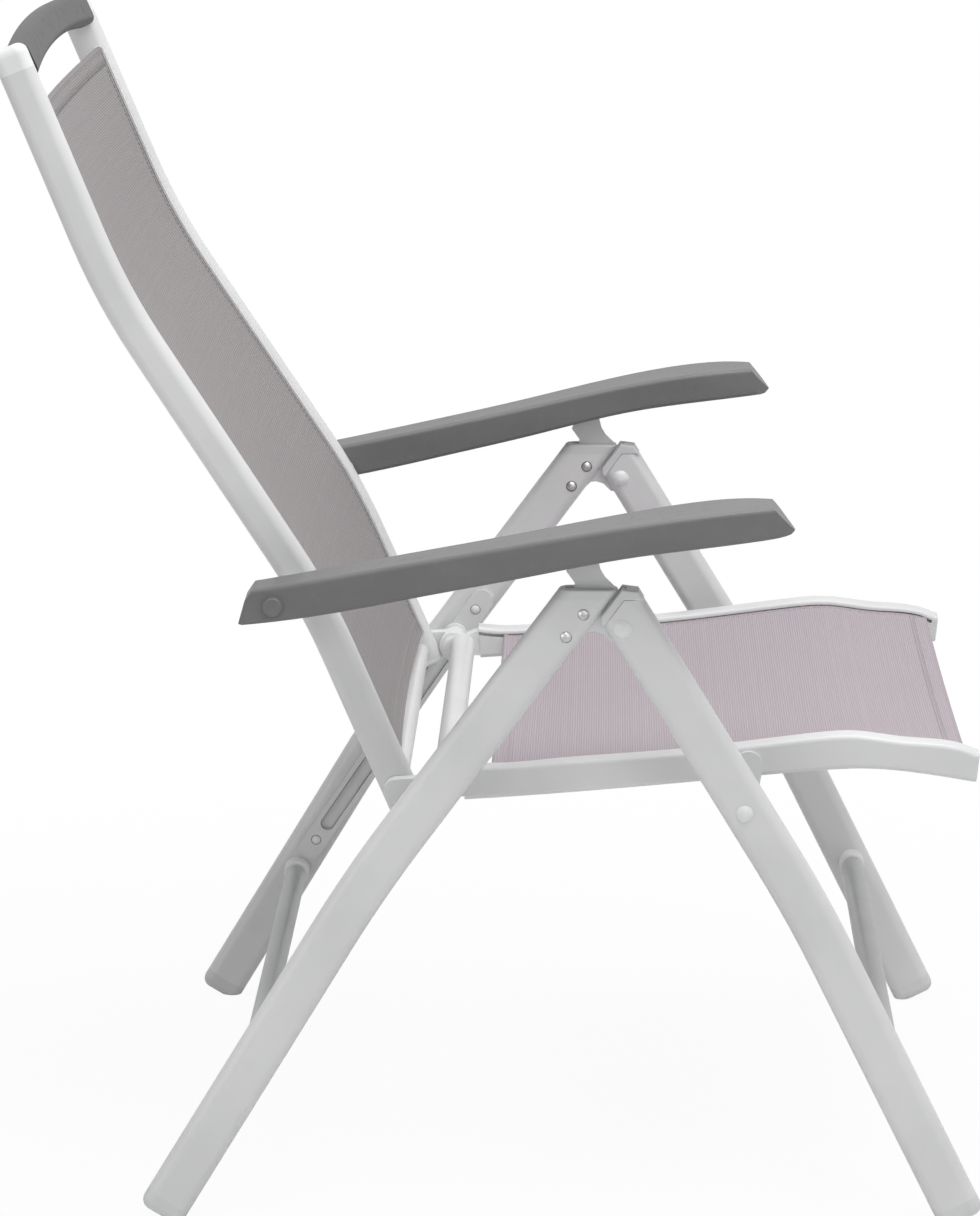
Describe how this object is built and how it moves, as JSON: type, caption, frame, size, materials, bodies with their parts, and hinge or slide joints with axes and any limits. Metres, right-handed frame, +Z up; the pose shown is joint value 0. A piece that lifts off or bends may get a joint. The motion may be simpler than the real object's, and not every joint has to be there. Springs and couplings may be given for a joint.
{
  "type": "reclining garden armchair",
  "caption": "Folding garden armchair with a reclining high back, textile slings, moulded armrests and a carry handle.",
  "frame": {"origin": "centre of the footprint of the bounding box, on the ground", "axes": "+X towards the sitter's feet (forward), +Y to the sitter's left, +Z up"},
  "size_m": [0.8267, 0.7112, 0.9944],
  "materials": {
    "painted_tube": "satin light grey powder coat",
    "painted_steel": "satin light grey powder coat",
    "dark_plastic": "matt dark grey moulding",
    "grey_plastic": "matt mid grey moulding",
    "light_plastic": "matt light grey moulding",
    "steel": "zinc plated",
    "sling_fabric": "woven coated textile"
  },
  "bodies": {
    "rear_frame": {"rear_leg_left": "painted_tube", "rear_leg_right": "painted_tube", "rear_leg_plug_left": "light_plastic", "rear_leg_plug_right": "light_plastic", "rear_foot_left": "light_plastic", "rear_foot_right": "light_plastic", "arm_bracket_left": "painted_steel", "arm_bracket_right": "painted_steel", "bracket_rivets": "steel", "rack_pins": "steel", "slot_channel_left": "painted_tube", "slot_channel_right": "painted_tube", "channel_rivets": "steel", "rear_stretcher": "painted_tube", "rear_stretcher_sockets": "light_plastic"},
    "front_frame": {"front_leg_left": "painted_tube", "front_leg_right": "painted_tube", "front_leg_plug_left": "light_plastic", "front_leg_plug_right": "light_plastic", "front_foot_left": "light_plastic", "front_foot_right": "light_plastic", "front_stretcher": "painted_tube", "front_stretcher_sockets": "light_plastic", "apex_rivets": "steel"},
    "seat": {"seat_rail_left": "painted_tube", "seat_rail_right": "painted_tube", "seat_rail_cap_left": "light_plastic", "seat_rail_cap_right": "light_plastic", "seat_rear_socket_left": "light_plastic", "seat_rear_socket_right": "light_plastic", "seat_cross_tube": "painted_tube", "seat_axles": "steel", "seat_lugs": "painted_steel", "seat_pivot_spacers": "light_plastic", "seat_pivot_rivets": "steel", "seat_front_bar": "painted_tube", "seat_sling": "sling_fabric"},
    "sliders": {"slider_left": "light_plastic", "slider_right": "light_plastic"},
    "backrest": {"backrest_tube_left": "painted_tube", "backrest_tube_right": "painted_tube", "backrest_strip_left": "painted_tube", "backrest_strip_right": "painted_tube", "backrest_top_caps": "light_plastic", "backrest_foot_caps": "light_plastic", "backrest_sling": "sling_fabric", "backrest_cross_tube": "painted_tube", "hinge_bracket_left": "light_plastic", "hinge_bracket_right": "light_plastic", "hinge_bolts": "steel", "carry_handle": "grey_plastic", "arm_lug_left": "light_plastic", "arm_lug_right": "light_plastic"},
    "arm_pins": {"arm_pin_left": "steel", "arm_pin_right": "steel"},
    "arm_bushes": {"arm_bushes": "steel"},
    "armrest_left": {"armrest_left": "grey_plastic", "arm_rack_left": "dark_plastic"},
    "armrest_right": {"armrest_right": "grey_plastic", "arm_rack_right": "dark_plastic"}
  },
  "joints": [
    {"name": "fold", "type": "hinge", "parent": "rear_frame", "child": "front_frame", "pos_m": [0.1071, 0, 0.5182], "axis": [0, 1, 0], "range_deg": [0, 62]},
    {"name": "seat_turn", "type": "hinge", "parent": "front_frame", "child": "seat", "pos_m": [0.2092, 0, 0.3607], "axis": [0, 1, 0], "range_deg": [-106, 0]},
    {"name": "slider_turn", "type": "hinge", "parent": "seat", "child": "sliders", "pos_m": [-0.0508, 0, 0.366], "axis": [0, 1, 0], "range_deg": [0, 89]},
    {"name": "recline", "type": "hinge", "parent": "sliders", "child": "backrest", "pos_m": [-0.0508, 0, 0.366], "axis": [0, 1, 0], "range_deg": [-20, 10]},
    {"name": "arm_pin_turn", "type": "hinge", "parent": "backrest", "child": "arm_pins", "pos_m": [-0.1823, 0, 0.5325], "axis": [0, 1, 0], "range_deg": [-7, 13]},
    {"name": "arm_bush_turn", "type": "hinge", "parent": "arm_pins", "child": "arm_bushes", "pos_m": [-0.1823, 0, 0.5325], "axis": [0, 1, 0], "range_deg": [-105, 0]},
    {"name": "armrest_left_lift", "type": "hinge", "parent": "arm_bushes", "child": "armrest_left", "pos_m": [-0.1823, 0, 0.5325], "axis": [0, 1, 0], "range_deg": [-35, 0]},
    {"name": "armrest_right_lift", "type": "hinge", "parent": "arm_bushes", "child": "armrest_right", "pos_m": [-0.1823, 0, 0.5325], "axis": [0, 1, 0], "range_deg": [-35, 0]}
  ],
  "couplings": [
    {"joint": "seat_turn", "follows": "fold", "ratio": -1.7},
    {"joint": "slider_turn", "follows": "fold", "ratio": 1.42},
    {"joint": "arm_pin_turn", "follows": "recline", "ratio": -0.62},
    {"joint": "arm_bush_turn", "follows": "fold", "ratio": -1.67}
  ]
}
